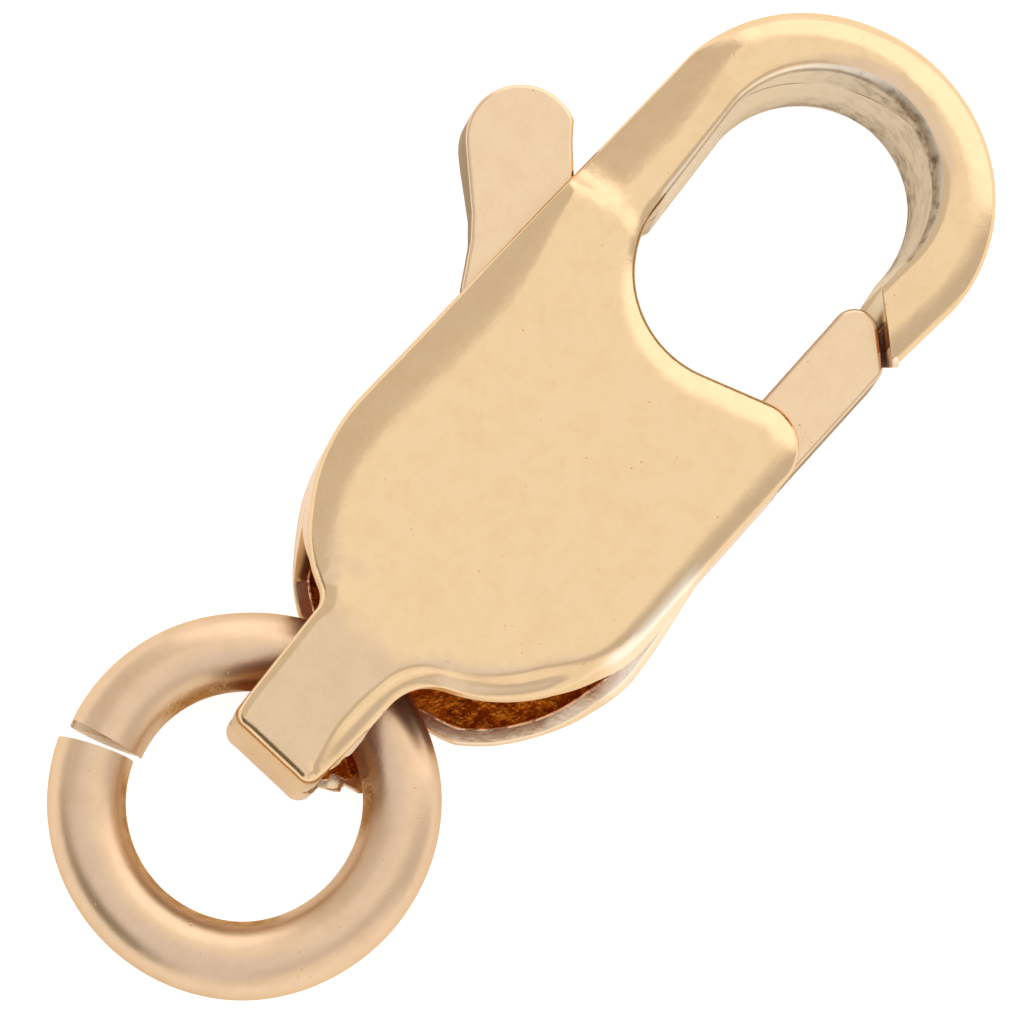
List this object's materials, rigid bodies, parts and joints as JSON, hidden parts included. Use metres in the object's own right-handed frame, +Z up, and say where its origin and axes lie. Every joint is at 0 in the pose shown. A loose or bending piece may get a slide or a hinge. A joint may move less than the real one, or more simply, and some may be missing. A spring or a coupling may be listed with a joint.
{
  "type": "lobster claw clasp with open jump ring",
  "caption": "Hollow claw-shaped clasp with a sprung pivoting lever that closes its eye, a folded tail strap, and an open jump ring passed through the strap.",
  "frame": {"origin": "where the lever's pivot axis meets the flat back face that the clasp lies on", "axes": "+X from the pivot to the hook's far end, +Y to the side with the thumb tab, +Z up out of the front face"},
  "size_m": [0.0153, 0.0065, 0.0023],
  "materials": {
    "shell_gold": "gold layer over brass sheet, polished with fine pits and softly rounded edges",
    "lever_gold": "gold layer over brass, flat faces finely brushed to a satin",
    "pin_gold": "plain drawn brass",
    "ring_gold": "gold layer over drawn brass wire, polished, bare pale metal on the cut ends"
  },
  "bodies": {
    "clasp": {"clasp_shell": "shell_gold", "pivot_pin": "pin_gold"},
    "lever": {"lever": "lever_gold"},
    "ring": {"jump_ring": "ring_gold"}
  },
  "joints": [
    {"name": "lever_swing", "type": "hinge", "parent": "clasp", "child": "lever", "pos_m": [0, 0, 0.00115], "axis": [0, 0, 1], "range_deg": [0, 35], "stiffness_Nm_per_rad": 0.005, "springref_deg": -17.19},
    {"name": "ring_swing", "type": "hinge", "parent": "clasp", "child": "ring", "pos_m": [-0.00451, 0, 0.00084], "axis": [0, 1, 0], "range_deg": [0, 105]}
  ]
}
